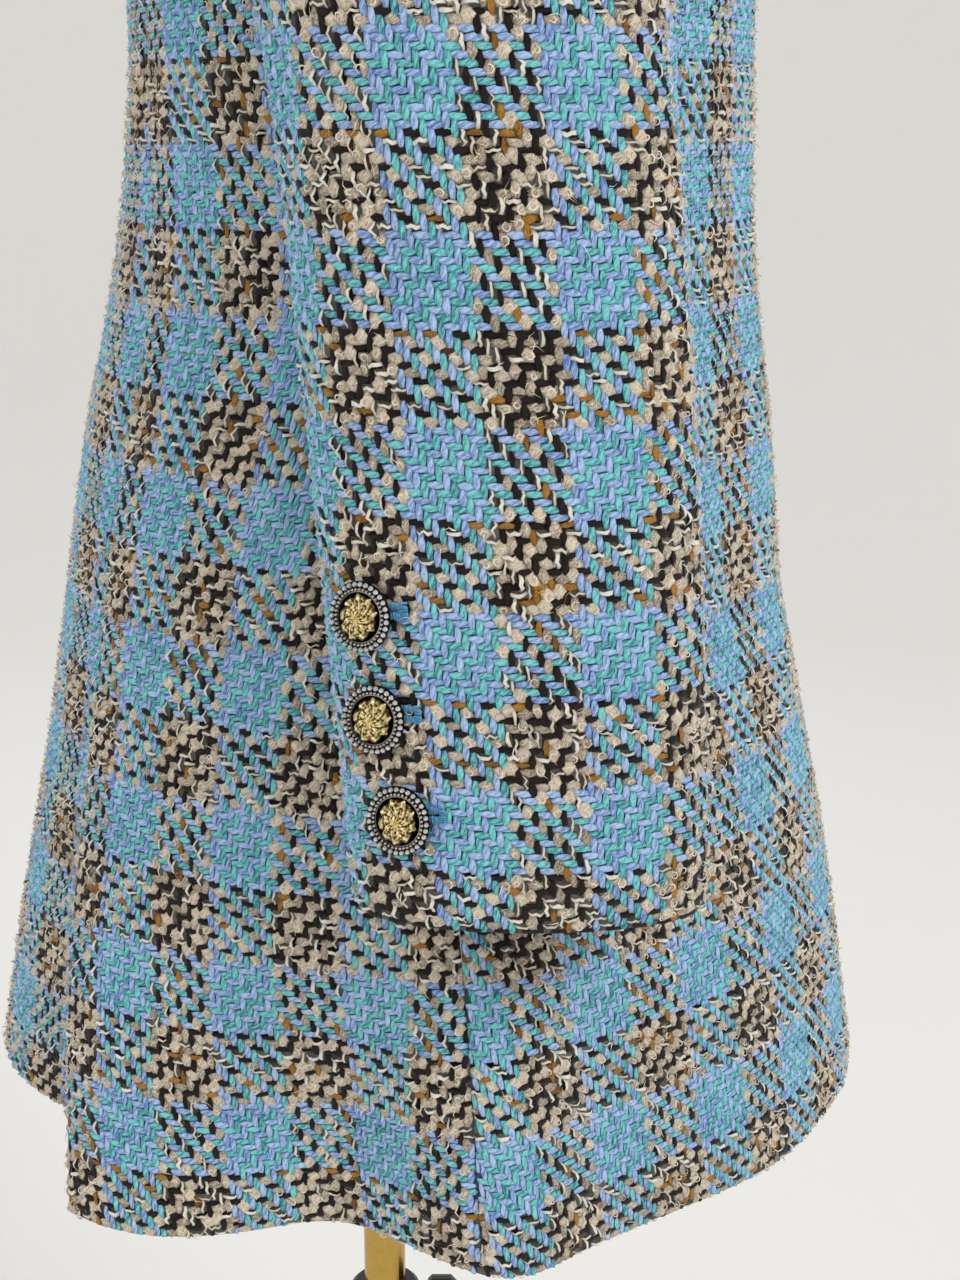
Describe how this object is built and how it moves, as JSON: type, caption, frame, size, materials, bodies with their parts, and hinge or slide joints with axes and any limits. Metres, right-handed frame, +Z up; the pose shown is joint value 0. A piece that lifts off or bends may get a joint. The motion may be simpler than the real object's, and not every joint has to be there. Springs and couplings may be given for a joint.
{
  "type": "tweed coat on a dress form stand",
  "caption": "Flared A-line checked tweed coat with side-back vents and jewelled cuff buttons, worn by a plain dress form on a clamped pole and a round base.",
  "frame": {"origin": "on the floor, at the middle of the stand's base, on the pole's axis", "axes": "+Z up along the pole, -Y to the coat's front, -X to the wearer's right"},
  "size_m": [0.509, 0.4095, 1.505],
  "materials": {
    "tweed": "checked wool boucle tweed, matt",
    "button_metal": "gilt relief on black enamel, crystal rim",
    "linen": "plain linen cover",
    "brass": "polished",
    "black_plastic": "satin black"
  },
  "bodies": {
    "stand": {"stand_base": "brass", "outer_pole": "brass", "clamp_collar": "black_plastic"},
    "form": {"front_right": "tweed", "front_left": "tweed", "side_panel_right": "tweed", "side_panel_left": "tweed", "back": "tweed", "sleeve_upper_right": "tweed", "sleeve_under_right": "tweed", "sleeve_upper_left": "tweed", "sleeve_under_left": "tweed", "cuff_button_right_1": "button_metal", "cuff_button_right_2": "button_metal", "cuff_button_right_3": "button_metal", "cuff_button_left_1": "button_metal", "cuff_button_left_2": "button_metal", "cuff_button_left_3": "button_metal", "front_button_1": "button_metal", "front_button_2": "button_metal", "front_button_3": "button_metal", "form_torso": "linen", "inner_pole": "brass"},
    "knob": {"clamp_knob": "black_plastic"}
  },
  "joints": [
    {"name": "height_slide", "type": "slide", "parent": "stand", "child": "form", "axis": [0, 0, 1], "range_m": [-0.13, 0.1]},
    {"name": "knob_turn", "type": "hinge", "parent": "stand", "child": "knob", "pos_m": [0, -0.02, 0.4815], "axis": [0, -1, 0], "range_deg": [-180, 180]}
  ]
}
